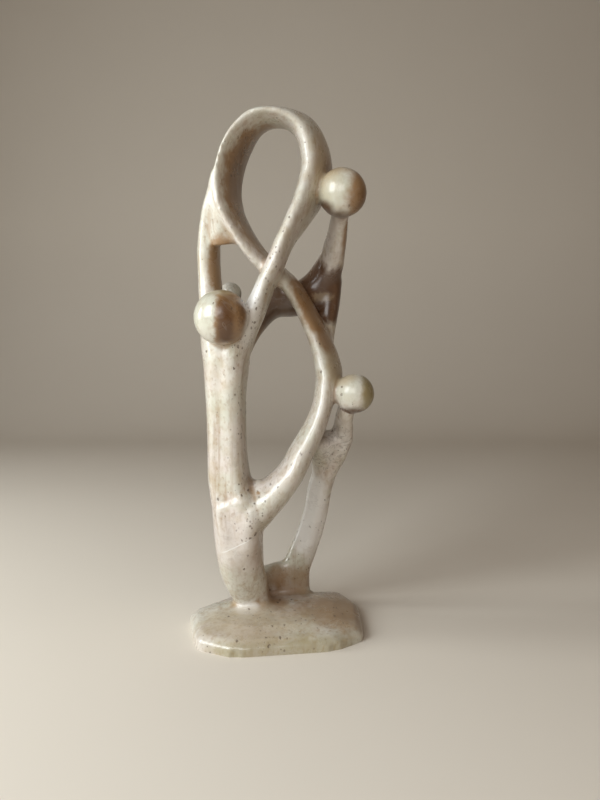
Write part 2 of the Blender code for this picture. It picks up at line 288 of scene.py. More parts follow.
@dataclass(frozen=True)
class SoapstoneFinish:
    """Cream soapstone with rose and olive clouds, dark specks and a hand-rubbed wax sheen, with
    painted shade and painted light laid into its colour in places.

    Each swarm of specks is x, y and z of its middle in percent, its reach in millimetres and the
    share that it adds.
    """

    patina: tuple[Blot, ...]
    spots: tuple[Blot, ...]
    swarms: tuple[tuple[float, ...], ...]
    wax: float = 0.40
    cloud_size: float = 0.030
    fleck_spacing: float = 0.0018
    fleck_radius: float = 0.23

    def material(self) -> bpy.types.Material:
        """Mixes the stone.

        Returns:
            The material of every carved surface.
        """
        made, bench, at = blank_material("soapstone")
        worn = bench.attribute("wear")
        hollow = worn.eased(-0.15, -1.0)
        raw = self.raw_places(bench, at)
        veins = self.veins(bench, at, raw)
        flecks = self.flecks(bench, at)
        colour = bench.painted(
            self.clouds(bench, at, hollow, worn.eased(0.25, 1.0)),
            # Patina, and in many places painted shade and painted highlights, from the blots.
            *((blot.mask(bench, at), blot.tone) for blot in self.patina),
            (veins * 0.60, Tone.GREY), (flecks * 0.8, Tone.FLECK),
            *((spot.mask(bench, at), spot.tone) for spot in self.spots),
            (self.scratch_line(bench, at), Tone.PALE))

        dull = bench.noise(at, 0.011, 3.0, 4.0).eased(0.35, 0.7)
        roughness = 0.26 + 0.10 * dull + 0.22 * raw + 0.12 * hollow + 0.15 * veins
        grain = bench.noise(at, 0.0009, 3.0, 7.0)
        ripples = bench.noise(bench.stretched(at, (1.0, 1.0, 0.45)), 0.0042, 2.0, 8.0)
        crumbs = bench.noise(at, 0.0021, 4.0, 9.0) * raw
        height = 0.018 * grain + 0.05 * ripples + 0.14 * crumbs - 0.08 * flecks - 0.05 * veins
        bump = bench.field("ShaderNodeBump", {}, {"Strength": 1.0, "Distance": MM,
                                                  "Height": height}, "Normal")
        bench.surface({"Base Color": colour, "Roughness": roughness, "Normal": bump,
                       "Coat Weight": self.wax, "Coat Roughness": 0.20, "IOR": 1.54})
        return made

    def clouds(self, bench: Bench, at: Field, hollow: Field, ridge: Field) -> Field:
        """The stone's broad colours.

        Args:
            bench: The material's tree.
            at: The place in metres.
            hollow: Where wax and dust have gathered.
            ridge: Where hands have rubbed the stone pale.

        Returns:
            The colour before patina, specks and veins.
        """
        rosy = bench.noise(at, self.cloud_size, 3.0, 1.0, 0.4).eased(0.42, 0.60)
        green = bench.noise(at, self.cloud_size * 0.8, 3.0, 2.0, 0.5).eased(0.45, 0.66)
        yellow = bench.noise(at, self.cloud_size * 0.6, 4.0, 3.0, 0.8).eased(0.52, 0.74)
        streaks = bench.noise(bench.stretched(at, (1.0, 1.0, 0.06)), 0.0030, 3.0, 5.0)
        mottle = bench.noise(at, 0.0052, 4.0, 6.0).eased(0.45, 0.68)
        pepper = bench.noise(bench.stretched(at, (1.0, 1.0, 0.6)), 0.0017, 4.0, 16.0)
        return bench.painted(
            bench.tint(rosy, Tone.CREAM.value, Tone.ROSE.value),
            (green * 0.6, Tone.SAGE), (yellow * 0.60, Tone.HONEY), (mottle * 0.42, Tone.HONEY),
            (pepper.eased(0.50, 0.70) * 0.44, Tone.TAN),
            (streaks.eased(0.50, 0.70) * 0.40, Tone.TAN),
            (hollow * 0.55, Tone.TAN), (ridge * 0.35, Tone.CREAM))

    @staticmethod
    def raw_places(bench: Bench, at: Field) -> Field:
        """Where the child's neck and shoulder were left unpolished."""
        neck = bench.near(at, on_figure(13.9, 0.4, 34.8), 0.016)
        leg_top = bench.near(at, on_figure(12.2, 3.0, 30.4), 0.016)
        return bench.math("MINIMUM", neck + leg_top, 1.0)

    @staticmethod
    def veins(bench: Bench, at: Field, raw: Field) -> Field:
        """Thin grey squiggles, close together on the raw places and faint elsewhere."""
        squiggle = bench.noise(at, 0.0060, 2.0, 11.0, 1.2).distance_to(0.5).eased(0.034, 0.006)
        thread = bench.noise(at, 0.030, 4.0, 12.0, 1.6).distance_to(0.5).eased(0.010, 0.002)
        return bench.math("MAXIMUM", squiggle * raw, thread * 0.30)

    def flecks(self, bench: Bench, at: Field) -> Field:
        """Small dark mineral specks, in swarms.

        Args:
            bench: The material's tree.
            at: The place in metres.

        Returns:
            1 in a speck and 0 outside it.
        """
        crowd = 0.05 + 0.18 * bench.noise(at, 0.018, 1.0, 13.0).eased(0.50, 0.68)
        for *centre, reach, share in self.swarms:
            crowd = crowd + bench.near(at, on_figure(*centre), reach * MM) * share
        ragged = bench.field("ShaderNodeTexNoise", {}, {"Vector": at, "Scale": 700.0}, "Color")
        shaken = bench.stretched(ragged, (0.0014, 0.0014, 0.0014))
        moved = bench.stretched(bench.vector_math("ADD", at, shaken), (1.0, 0.45, 0.8))
        cells = bench.node("ShaderNodeTexVoronoi", {},
                           {"Vector": moved, "Scale": 1 / self.fleck_spacing})
        parts = bench.node("ShaderNodeSeparateColor", {},
                           {"Color": bench.output(cells, "Color")})
        chosen = bench.math("LESS_THAN", bench.output(parts, "Red"), crowd)
        share = bench.output(parts, "Green")
        size = self.fleck_radius * (0.45 + 1.3 * share * share)
        spot = (bench.output(cells, "Distance") - size).eased(0.05, -0.05)
        clump = bench.noise(at, 0.0019, 4.0, 14.0, 0.6).eased(0.63, 0.69) * crowd.eased(0.2, 0.5)
        faint = 0.5 + 0.5 * bench.output(parts, "Blue")
        return bench.math("MAXIMUM", spot * chosen * faint, clump)

    @staticmethod
    def scratch_line(bench: Bench, at: Field) -> Field:
        """The fine pale line that slants up the trunk's front."""
        wobble = bench.noise(at, 0.008, 2.0, 15.0) * 0.0012
        low, high = Vector(on_figure(-11.1, 0, 13.7)), Vector(on_figure(-3.2, 0, 18.4))
        along = (high - low).normalized()
        across = Vector((-along.z, 0, along.x))
        off = bench.vector_math("DOT_PRODUCT", at, across[:]) + wobble
        off = off.distance_to(low.dot(across) + 0.0006).eased(0.00048, 0.00014)
        split = bench.node("ShaderNodeSeparateXYZ", {}, {"Vector": at})
        x, y = bench.output(split, "X"), bench.output(split, "Y")
        reach = x.eased(low.x, low.x + 0.003) * x.eased(high.x, high.x - 0.012)
        return off * reach * y.eased(0.0, -0.004) * 0.8


@dataclass(frozen=True)
class FloorFinish:
    """Plain pale paper, matt, with hardly any grain."""

    tone: Colour = (0.74, 0.68, 0.59, 1)
    shade: Colour = (0.70, 0.64, 0.55, 1)

    def material(self) -> bpy.types.Material:
        """The paper of the floor and its sweep."""
        made, bench, at = blank_material("pale_paper")
        colour = bench.tint(bench.noise(at, 0.25, 3.0, 1.0), self.tone, self.shade)
        bench.surface({"Base Color": colour, "Roughness": 0.85})
        return made


def bridge(mesh: bmesh.types.BMesh, rings: list[list[bmesh.types.BMVert]]) -> None:
    """Closes a stack of equal rings into a skin, with a face over each end.

    Args:
        mesh: What the faces are added to.
        rings: The rings in order, each with as many vertices as the next.
    """
    for lower, upper in zip(rings, rings[1:]):
        for corner in range(len(lower)):
            following = (corner + 1) % len(lower)
            mesh.faces.new((lower[corner], lower[following], upper[following], upper[corner]))
    mesh.faces.new(reversed(rings[0]))
    mesh.faces.new(rings[-1])


@dataclass(frozen=True)
class Limb:
    """One limb, lofted through stations.

    A station is x and z of the front edge, the depths y of front and back, half the thickness, and
    how far the depth axis swings to +X and to +Z for each unit that it runs back, 0 where that is
    left out. The squareness is 2 for an ellipse and more for a boxier section.
    """

    name: str
    squareness: float
    stations: tuple[Station, ...]
    span_steps: int = 8
    sides: int = 32

    def rows(self) -> np.ndarray:
        """The stations joined by a smooth Catmull-Rom curve."""
        rows = np.array([station + (0.0,) * (STATION_VALUES - len(station))
                         for station in self.stations])
        padded = np.vstack([2 * rows[0] - rows[1], rows, 2 * rows[-1] - rows[-2]])
        dense = []
        for a, b, c, d in zip(padded, padded[1:], padded[2:], padded[3:]):
            for step in range(self.span_steps):
                t = step / self.span_steps
                dense.append(0.5 * (2 * b + (c - a) * t + (2 * a - 5 * b + 4 * c - d) * t**2
                                    + (3 * b - 3 * c + d - a) * t**3))
        dense.append(rows[-1])
        return np.array(dense)

    def section_point(self, angle: float, across: float, deep: float) -> tuple[float, float]:
        """A point of the superelliptical section, given half its thickness and half its depth."""
        power = 2 / self.squareness
        cosine, sine = math.cos(angle), math.sin(angle)
        return (across * math.copysign(abs(cosine) ** power, cosine),
                deep * math.copysign(abs(sine) ** power, sine))

    def add_to(self, mesh: bmesh.types.BMesh) -> None:
        """Lofts the limb as a closed skin."""
        rows = self.rows()
        middle = (rows[:, 3] - rows[:, 2]) / 2
        centres = np.stack([rows[:, 0] + rows[:, 5] * middle, rows[:, 2] + middle,
                            rows[:, 1] + rows[:, 6] * middle], axis=1)
        tangents = np.gradient(centres, axis=0)
        rings = []
        for row, half_deep, centre, tangent in zip(rows, middle, centres, tangents):
            along = Vector(tangent).normalized()
            back = Vector((row[5], 1.0, row[6]))
            back = (back - along * back.dot(along)).normalized()
            side = along.cross(back)
            ring = []
            for corner in range(self.sides):
                u, v = self.section_point(math.tau * corner / self.sides, row[4], half_deep)
                ring.append(mesh.verts.new(on_figure(*(Vector(centre) + side * u + back * v))))
            rings.append(ring)
        bridge(mesh, rings)


@dataclass(frozen=True)
class Head:
    """A plain ball head on its neck, with one cheek dressed flat."""

    name: str
    seat: Triple
    way: Triple
    reach: float
    diameter: float
    cheek: Triple
    left: float
    segments: int = 72

    def middle(self) -> Vector:
        """The ball's middle, in metres."""
        return (Vector(on_figure(*self.seat))
                + Vector(self.way).normalized() * self.reach * self.diameter / 2)

    def add_to(self, mesh: bmesh.types.BMesh) -> None:
        """Adds the ball, pressed flat down to a share of its radius towards its cheek."""
        ball = bmesh.ops.create_uvsphere(mesh, u_segments=self.segments,
                                         v_segments=self.segments // 2, radius=self.diameter / 2)
        towards = Vector(self.cheek).normalized()
        middle = self.middle()
        for vertex in ball["verts"]:
            beyond = vertex.co.dot(towards) - self.left * self.diameter / 2
            if beyond > 0:
                vertex.co -= towards * beyond
            vertex.co += middle


@dataclass(frozen=True)
class Plinth:
    """The hand-cut octagonal plinth, with worn corners and a low crown towards the feet."""

    width: float = 0.104
    depth: float = 0.075
    edge_height: float = 0.0048
    shoulder_height: float = 0.0078
    shoulder_inset: float = 0.0038
    crown_inset: float = 0.017
    skirt: float = 0.0032
    corner_cuts: int = 3
    corner_cut_share: float = 0.08
    corners: tuple[tuple[float, float], ...] = (
        (-0.52, -1.00), (0.56, -1.00), (0.92, -0.72), (1.03, 0.30),
        (0.90, 0.92), (-0.44, 1.00), (-0.97, 0.36), (-0.88, -0.66),
    )

    def worn_outline(self) -> list[tuple[float, float]]:
        """The octagon with its corners cut back again and again, as hands have worn them."""
        outline = list(self.corners)
        for _ in range(self.corner_cuts):
            cut = []
            for before, corner, after in zip(outline[-1:] + outline, outline,
                                             outline[1:] + outline[:1]):
                for other in (before, after):
                    cut.append(tuple(c + (o - c) * self.corner_cut_share
                                     for c, o in zip(corner, other)))
            outline = cut
        return outline

    def add_to(self, mesh: bmesh.types.BMesh) -> None:
        """Adds the plinth with a skirt below it, which the flat underside cuts off."""
        rings = []
        for z, inset in ((-self.skirt, 0), (self.edge_height, 0),
                         (self.shoulder_height, self.shoulder_inset),
                         (PLINTH_THICKNESS, self.crown_inset)):
            rings.append([mesh.verts.new((x * (self.width / 2 - inset),
                                          y * (self.depth / 2 - inset), z))
                          for x, y in self.worn_outline()])
        bridge(mesh, rings)


class Skin:
    """The carved surface as arrays, so that a whole region can be pushed at once."""

    def __init__(self, mesh: bpy.types.Mesh) -> None:
        """Reads the mesh's points and edges."""
        self.mesh = mesh
        edges = self.read(mesh.edges, "vertices", 2, int)
        self.first, self.second = edges.T
        self.valence = np.bincount(edges.ravel(), minlength=len(mesh.vertices))[:, None]
        self.points = self.read(mesh.vertices, "co", 3)

    @staticmethod
    def read(items: bpy.types.bpy_prop_collection, what: str, width: int,
             kind: type = float) -> np.ndarray:
        """One property of a mesh's points or edges, a row for each."""
        values = np.empty(len(items) * width, kind)
        items.foreach_get(what, values)
        return values.reshape(-1, width)

    def normals(self) -> np.ndarray:
        """The outward direction at each point."""
        return self.read(self.mesh.vertices, "normal", 3)

    def percent(self) -> np.ndarray:
        """The points in percent of the figure's height."""
        return (self.points - (0, 0, PLINTH_THICKNESS)) / PERCENT

    def write(self) -> None:
        """Puts the points back into the mesh."""
        self.mesh.vertices.foreach_set("co", self.points.ravel())
        self.mesh.update()

    def around(self, values: np.ndarray) -> np.ndarray:
        """The mean of each point's neighbours' values, column by column."""
        count = len(values)
        total = np.stack([
            np.bincount(self.first, values[self.second, k], count)
            + np.bincount(self.second, values[self.first, k], count)
            for k in range(values.shape[1])], axis=1)
        return total / self.valence

    def relax(self, rounds: int, only_fill: bool = False) -> None:
        """Averages each point with its neighbours.

        Args:
            rounds: How many times.
            only_fill: Whether points move outwards alone, as in the fork of two limbs.
        """
        for _ in range(rounds):
            move = (self.around(self.points) - self.points) / 2
            if only_fill:
                normals = self.normals()
                outward = np.einsum("ij,ij->i", move, normals)
                move = normals * np.maximum(outward, 0)[:, None]
            self.points += move
            self.write()

    def push(self, amount: np.ndarray) -> None:
        """Moves each point along its normal, in metres."""
        self.points += self.normals() * amount[:, None]
        self.write()


def eased(values: np.ndarray, low: float, high: float) -> np.ndarray:
    """Rises smoothly from 0 at low to 1 at high, or falls where low is the larger."""
    share = np.clip((values - low) / (high - low), 0, 1)
    return share * share * (3 - 2 * share)


def placed(name: str, data: bpy.types.ID) -> bpy.types.Object:
    """A new object in the scene, at the origin."""
    thing = bpy.data.objects.new(name, data)
    bpy.context.scene.collection.objects.link(thing)
    return thing


def baked(thing: bpy.types.Object) -> bpy.types.Mesh:
    """The plain mesh that an object's modifiers make of it, in place of the object.

    Args:
        thing: The object, which is used up with its mesh.

    Returns:
        A new mesh.
    """
    graph = bpy.context.evaluated_depsgraph_get()
    done = bpy.data.meshes.new_from_object(thing.evaluated_get(graph),
                                           preserve_all_data_layers=True, depsgraph=graph)
    rough = thing.data
    bpy.data.objects.remove(thing)
    bpy.data.meshes.remove(rough)
    return done


@dataclass(frozen=True)
class HandRubbing:
    """The low unevenness that rasp and rubbing leave, as a tree of Geometry Nodes."""

    broad_size: float = 0.012
    broad_depth: float = 0.00035
    fine_size: float = 0.0045
    fine_depth: float = 0.00010
    flat_below: float = 0.0015
    seed: float = 7.0

    def sockets(self) -> dict[str, float]:
        """The tree's named inputs, such as Broad size, and their values."""
        return {name.replace("_", " ").capitalize(): value for name, value in asdict(self).items()}

    def tree(self, stone: bpy.types.Material) -> bpy.types.NodeTree:
        """Builds the tree that displaces the skin and lays the stone's material on it.

        Args:
            stone: The material that the tree sets.

        Returns:
            A new node tree.
        """
        tree = bpy.data.node_groups.new("hand_rubbing", "GeometryNodeTree")
        tree.interface.new_socket("Skin", in_out="INPUT", socket_type="NodeSocketGeometry")
        for name in self.sockets():
            tree.interface.new_socket(name, in_out="INPUT", socket_type="NodeSocketFloat")
        tree.interface.new_socket("Skin", in_out="OUTPUT", socket_type="NodeSocketGeometry")
        bench = Bench(tree)
        given = bench.node("NodeGroupInput")
        place = bench.field("GeometryNodeInputPosition")
        height = bench.field("ShaderNodeSeparateXYZ", {}, {"Vector": place}, "Z")
        relief = 0.0
        for word, shift in (("Broad", 0.0), ("Fine", 3.0)):
            scale = bench.math("DIVIDE", 1.0, bench.output(given, f"{word} size"))
            blotches = bench.field("ShaderNodeTexNoise", {"noise_dimensions": "4D"}, {
                "Vector": place, "W": bench.output(given, "Seed") + shift, "Scale": scale,
                "Detail": 1.0})
            relief = (blotches - 0.5) * bench.output(given, f"{word} depth") * 2.0 + relief
        lift = relief * height.eased(0.0, bench.output(given, "Flat below"))
        normal = bench.field("GeometryNodeInputNormal", key="Normal")
        moved = bench.field("GeometryNodeSetPosition", {}, {
            "Geometry": bench.output(given, "Skin"),
            "Offset": bench.vector_math("MULTIPLY", normal, lift)})
        real = bench.field("GeometryNodeRealizeInstances", {}, {"Geometry": moved})
        dressed = bench.field("GeometryNodeSetMaterial", {}, {"Geometry": real, "Material": stone})
        bench.node("NodeGroupOutput", {}, {0: dressed})
        return tree

    def rub(self, mesh: bpy.types.Mesh, stone: bpy.types.Material) -> bpy.types.Mesh:
        """Runs the tree over a mesh.

        Args:
            mesh: The skin, which is used up.
            stone: The material that it gets.

        Returns:
            A plain mesh with the relief in it.
        """
        holder = placed("rubbed", mesh)
        work = holder.modifiers.new("rub", "NODES")
        work.node_group = self.tree(stone)
        values = self.sockets()
        for item in work.node_group.interface.items_tree:
            if item.in_out == "INPUT" and item.name in values:
                work[item.identifier] = values[item.name]
        return baked(holder)


@dataclass(frozen=True)
class Chip:
    """A small bruise where a bit of the edge is gone."""

    centre: Triple
    radius: float
    depth: float
    raggedness: float = 0.5
    rim_pitch: float = 700.0

    def cut(self, skin: Skin) -> None:
        """Pushes the surface in, with a ragged rim."""
        away = np.linalg.norm(skin.points - self.centre, axis=1)
        near = np.flatnonzero(away < self.radius * 1.5)
        amount = np.zeros(len(away))
        for index in near:
            ragged = 1 + self.raggedness * noise.noise(Vector(skin.points[index]) * self.rim_pitch)
            amount[index] = away[index] * ragged
        amount[near] = -self.depth * eased(amount[near], self.radius, self.radius * 0.35)
        skin.push(amount)


@dataclass(frozen=True)
class Lap:
    """The crease where the returning limb laps over the trunk's front."""

    line: tuple[tuple[float, float], ...] = (
        (-14.0, 21.8), (-12.6, 22.6), (-10.8, 23.6), (-8.1, 24.8), (-5.7, 25.6), (-3.4, 26.3),
    )
    step_in: float = 0.0010
    swell: float = 0.0009
    fade: float = 3.6
    sharpness: float = 1.05

    def carve(self, skin: Skin) -> None:
        """Steps the trunk in above the line and swells it below."""
        place = skin.percent()
        flat = place[:, [0, 2]]
        nearest = np.full(len(flat), np.inf)
        side = np.zeros(len(flat))
        for start, end in zip(self.line, self.line[1:]):
            a, b = np.array(start), np.array(end)
            along = (b - a) / np.linalg.norm(b - a)
            reach = np.clip((flat - a) @ along, 0, np.linalg.norm(b - a))
            gap = flat - a - reach[:, None] * along
            away = np.linalg.norm(gap, axis=1)
            closer = away < nearest
            nearest[closer] = away[closer]
            side[closer] = (along[0] * gap[:, 1] - along[1] * gap[:, 0])[closer]
        signed = np.copysign(nearest, side)
        normals = skin.normals()
        front = eased(normals[:, 0], -0.97, -0.70) * eased(normals[:, 1], 0.0, -0.3)
        ends = eased(flat[:, 0], -3.2, -6.4)
        above = -self.step_in * eased(signed, -self.sharpness, self.sharpness)
        below = self.swell * eased(signed, self.sharpness, -self.sharpness)
        skin.push((above + below) * np.exp(-nearest / self.fade) * front * ends)


@dataclass(frozen=True)
class Keel:
    """A soft ridge down a limb's front, with a broad flat that faces left beside it.

    The line gives x and z of the limb's middle in percent, from the bottom to the top. The ridge
    stands halfway to its right. Only what lies ahead of the depth is changed.
    """

    line: tuple[tuple[float, float], ...]
    half_width: float
    height: float
    depth: float

    def carve(self, skin: Skin) -> None:
        """Raises the ridge and lowers the flat."""
        place = skin.percent()
        x, z = np.array(self.line).T
        share = (place[:, 0] - np.interp(place[:, 2], z, x)) / self.half_width
        wave = np.sin(np.clip(share, -1, 1) * math.pi)
        front = eased(skin.normals()[:, 1], -0.2, -0.7)
        front *= eased(place[:, 1], self.depth, self.depth - 2.5)
        ends = eased(place[:, 2], z[0], z[0] + 5) * eased(place[:, 2], z[-1], z[-1] - 5)
        skin.push(self.height * wave * front * ends)


@dataclass
class Figurine:
    """The whole carving, one block of stone with its plinth."""

    limbs: tuple[Limb, ...]
    heads: tuple[Head, ...]
    plinth: Plinth = field(default_factory=Plinth)
    lap: Lap = field(default_factory=Lap)
    keels: tuple[Keel, ...] = (
        Keel(((-6.8, 12.0), (-7.2, 18.0), (-8.0, 23.0), (-9.1, 28.0), (-9.4, 34.0), (-9.5, 40.0),
              (-9.5, 46.0), (-9.2, 52.0)), 4.0, 0.0018, -1.0),
        Keel(((6.8, 6.0), (7.2, 10.0), (8.5, 15.0), (9.7, 20.0), (10.6, 25.0), (11.4, 29.0)),
             2.5, 0.0011, 14.0),
    )
    chips: tuple[Chip, ...] = (
        Chip((-0.0253, -0.0372, 0.0012), 0.0034, 0.0006),
        Chip((0.0292, -0.0370, 0.0016), 0.0036, 0.0007),
    )
    raw_places: tuple[tuple[Triple, float], ...] = (
        ((13.9, 1.5, 34.0), 4.8), ((10.8, 1.0, 33.4), 4.0),
    )
    raw_waves: tuple[tuple[float, float], ...] = ((260.0, 0.0007), (600.0, 0.00035))
    rubbing: HandRubbing = field(default_factory=HandRubbing)
    voxel: float = 0.0011
    fill_rounds: int = 21
    polish_rounds: int = 3
    wear_rounds: int = 22
    wear_depth: float = 0.00045
    sharp_above: float = math.radians(50)

    def fused(self, shape: bmesh.types.BMesh) -> bpy.types.Mesh:
        """The union of closed shells, as a mesh of even voxel faces.

        Args:
            shape: The shells, which are used up.

        Returns:
            A new mesh.
        """
        bmesh.ops.recalc_face_normals(shape, faces=shape.faces)
        rough = bpy.data.meshes.new("rough")
        shape.to_mesh(rough)
        shape.free()
        holder = placed("rough", rough)
        fuse = holder.modifiers.new("fuse", "REMESH")
        fuse.mode = "VOXEL"
        fuse.voxel_size = self.voxel
        return baked(holder)

    def rough_out(self) -> bpy.types.Mesh:
        """Fuses the limbs with the plinth, fills their forks and sets the heads."""
        limbs = bmesh.new()
        for limb in self.limbs:
            limb.add_to(limbs)
            LOG.info("limb %s: %d stations", limb.name, len(limb.stations))
        self.plinth.add_to(limbs)
        LOG.info("plinth: %.0f by %.0f mm", self.plinth.width * 1000, self.plinth.depth * 1000)
        body = self.fused(limbs)
        Skin(body).relax(self.fill_rounds, only_fill=True)
        whole = bmesh.new()
        for head in self.heads:
            head.add_to(whole)
            LOG.info("head %s: %.1f mm", head.name, head.diameter * 1000)
        whole.from_mesh(body)
        return self.fused(whole)

    def roughen_child(self, skin: Skin) -> None:
        """Leaves the child's neck and shoulder uneven, as the photo shows them."""
        place = skin.percent()
        mask = np.zeros(len(place))
        for centre, reach in self.raw_places:
            away = np.linalg.norm(place - centre, axis=1)
            mask = np.maximum(mask, eased(away, reach, reach * 0.4))
        amount = np.zeros(len(place))
        for index in np.flatnonzero(mask > 0):
            here = Vector(skin.points[index])
            rough = sum(noise.noise(here * pitch) * depth for pitch, depth in self.raw_waves)
            amount[index] = mask[index] * rough
        skin.push(amount)

    def mark_wear(self, skin: Skin) -> None:
        """Notes on each point how far it stands proud of, or lies below, what is round it."""
        smooth = skin.points.copy()
        for _ in range(self.wear_rounds):
            smooth += (skin.around(smooth) - smooth) / 2
        proud = np.einsum("ij,ij->i", skin.points - smooth, skin.normals())
        self.note(skin, "wear", np.clip(proud / self.wear_depth, -1, 1))

    def mark_inner_face(self, skin: Skin, middle: tuple[float, float] = (-1.0, 84.0)) -> None:
        """Notes on each point whether it faces the middle of the upper loop, for the painted shade
        there.
        """
        away = skin.percent()[:, [0, 2]] - middle
        away /= np.linalg.norm(away, axis=1)[:, None] + 1e-9
        facing = -np.einsum("ij,ij->i", skin.normals()[:, [0, 2]], away)
        self.note(skin, "inner_face", eased(facing, 0.0, 0.35))

    @staticmethod
    def note(skin: Skin, name: str, values: np.ndarray) -> None:
        """Keeps one value for each point under a name that the stone reads."""
        layer = skin.mesh.attributes.new(name, "FLOAT", "POINT")
        layer.data.foreach_set("value", values.astype(np.float32))

    @staticmethod
    def rub_down(skin: Skin, centre: Triple = (-12.3, -8.6, 83.5), reach: float = 6.0,
                 rounds: int = 10) -> None:
        """Evens out the thin edge where the left arm runs into the upper loop."""
        away = np.linalg.norm(skin.percent() - centre, axis=1)
        share = eased(away, reach, reach * 0.6)[:, None] / 2
        for _ in range(rounds):
            skin.points += (skin.around(skin.points) - skin.points) * share
        skin.write()

    def trimmed(self, mesh: bpy.types.Mesh) -> None:
        """Keeps the carving inside the solid's own box and cuts its underside flat."""
        low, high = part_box("figurine")
        skin = Skin(mesh)
        skin.points = np.clip(skin.points, (low.x, low.y, -1.0), high[:])
        skin.write()
        flat = bmesh.new()
        flat.from_mesh(mesh)
        cut = bmesh.ops.bisect_plane(flat, geom=flat.verts[:] + flat.edges[:] + flat.faces[:],
                                     plane_co=(0, 0, 0), plane_no=(0, 0, 1), clear_inner=True)
        rim = [item for item in cut["geom_cut"] if isinstance(item, bmesh.types.BMEdge)]
        bmesh.ops.edgenet_fill(flat, edges=rim)
        bmesh.ops.recalc_face_normals(flat, faces=flat.faces)
        flat.to_mesh(mesh)
        flat.free()

    def build(self, finish: SoapstoneFinish) -> bpy.types.Object:
        """Carves the piece and dresses it.

        Args:
            finish: The stone.

        Returns:
            The finished object, at the origin.
        """
        rough = self.rough_out()
        skin = Skin(rough)
        skin.relax(self.polish_rounds)
        for keel in self.keels:
            keel.carve(skin)
        self.lap.carve(skin)
        for chip in self.chips:
            chip.cut(skin)
        self.roughen_child(skin)
        self.rub_down(skin)
        self.mark_wear(skin)
        self.mark_inner_face(skin)
        mesh = self.rubbing.rub(rough, finish.material())
        self.trimmed(mesh)
        mesh.name = "carved_group"
        mesh.shade_smooth()
        mesh.set_sharp_from_angle(angle=self.sharp_above)
        group = placed("carved_group", mesh)
        LOG.info("carved group: %d faces, %d finishes", len(mesh.polygons), len(mesh.materials))
        return group


@dataclass(frozen=True)
class Panel:
    """One soft panel of light, aimed at the middle of the figure."""

    name: str
    where: Triple
    size: tuple[float, float]
    watts: float
    colour: Triple


